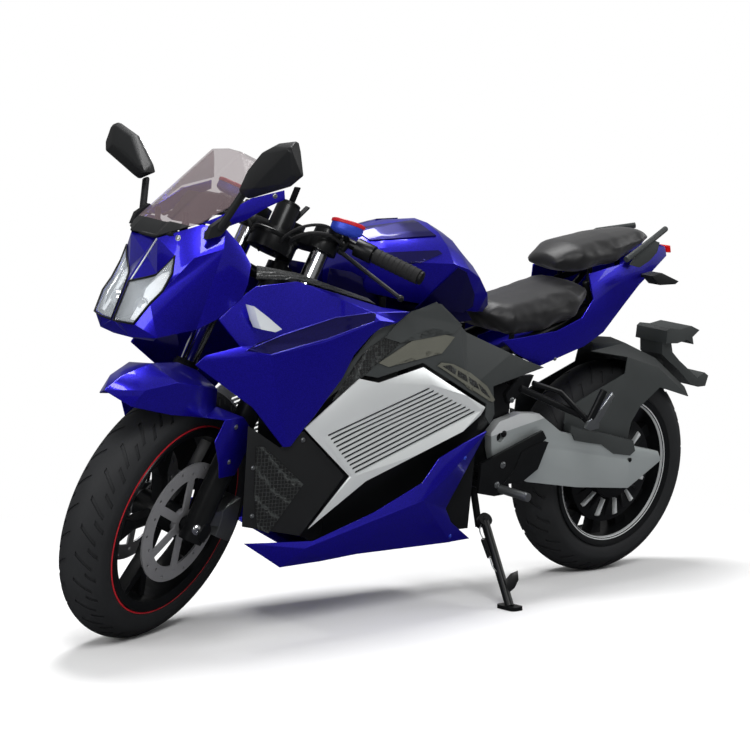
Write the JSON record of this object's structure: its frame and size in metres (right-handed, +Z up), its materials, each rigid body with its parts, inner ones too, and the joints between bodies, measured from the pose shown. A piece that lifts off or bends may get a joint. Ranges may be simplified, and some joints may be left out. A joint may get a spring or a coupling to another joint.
{
  "type": "electric motorcycle",
  "caption": "Full-fairing sport motorcycle with a battery behind louvred side panels and a hub motor, leaning on its side stand with the steering on its left stop.",
  "frame": {"origin": "centre of the bounding box at floor level, as the bike leans on its side stand", "axes": "+X is the way the bike faces, +Y its left side, +Z up"},
  "size_m": [2.0144, 0.8546, 1.1736],
  "materials": {
    "black_metal": "satin",
    "black_plastic": "matte",
    "blue_paint": "metallic gloss",
    "disc_steel": "ground",
    "grey_plastic": "matte",
    "hose_rubber": "matte",
    "lamp_lens": "clear",
    "red_lens": "gloss",
    "seat_vinyl": "soft",
    "silver_metal": "satin",
    "smoked_screen": "clear",
    "tyre_rubber": "moulded"
  },
  "bodies": {
    "body": {"battery_box": "black_metal", "belly_pan": "blue_paint", "cockpit_cover": "black_plastic", "grab_rails": "silver_metal", "headlights": "lamp_lens", "instrument_panel": "black_plastic", "left_battery_panel": "silver_metal", "left_footrests": "black_metal", "left_frame_cover": "grey_plastic", "left_front_duct": "black_plastic", "left_mirror": "black_plastic", "left_pillion_footrests": "black_metal", "left_side_fairing": "blue_paint", "main_frame": "black_metal", "nose_fairing": "blue_paint", "pillion_seat": "seat_vinyl", "plate_bracket": "black_plastic", "rear_hugger": "black_plastic", "rider_seat": "seat_vinyl", "right_battery_panel": "silver_metal", "right_footrests": "black_metal", "right_frame_cover": "grey_plastic", "right_front_duct": "black_plastic", "right_mirror": "black_plastic", "right_pillion_footrests": "black_metal", "right_side_fairing": "blue_paint", "shock": "black_metal", "swingarm": "silver_metal", "tail_fairing": "blue_paint", "tail_light": "red_lens", "tank_cover": "blue_paint", "turn_signals": "black_plastic", "windscreen": "smoked_screen"},
    "steering": {"brake_hoses": "hose_rubber", "fork_legs": "black_metal", "front_calipers": "silver_metal", "front_fender": "blue_paint", "handlebars": "hose_rubber", "triple_clamps": "black_metal"},
    "front_wheel": {"front_discs": "disc_steel", "front_rim": "black_metal", "front_tyre": "tyre_rubber"},
    "rear_wheel": {"rear_rim_motor": "black_metal", "rear_tyre": "tyre_rubber"},
    "side_stand": {"stand_leg": "black_metal"}
  },
  "joints": [
    {"name": "steering", "type": "hinge", "parent": "body", "child": "steering", "pos_m": [0.47981, -0.04038, 0.79093], "axis": [-0.4033, 0.1353, 0.905], "range_deg": [-56, 0]},
    {"name": "front_wheel_spin", "type": "hinge", "parent": "steering", "child": "front_wheel", "pos_m": [0.73735, -0.10124, 0.28089], "axis": [-0.4296, 0.8453, -0.3178], "continuous": true},
    {"name": "rear_wheel_spin", "type": "hinge", "parent": "body", "child": "rear_wheel", "pos_m": [-0.63914, -0.11425, 0.2967], "axis": [0, 0.989, -0.1478], "continuous": true},
    {"name": "side_stand_fold", "type": "hinge", "parent": "body", "child": "side_stand", "pos_m": [-0.11744, 0.00053, 0.1987], "axis": [0.1511, 0.8161, 0.5578], "range_deg": [0, 80]}
  ]
}
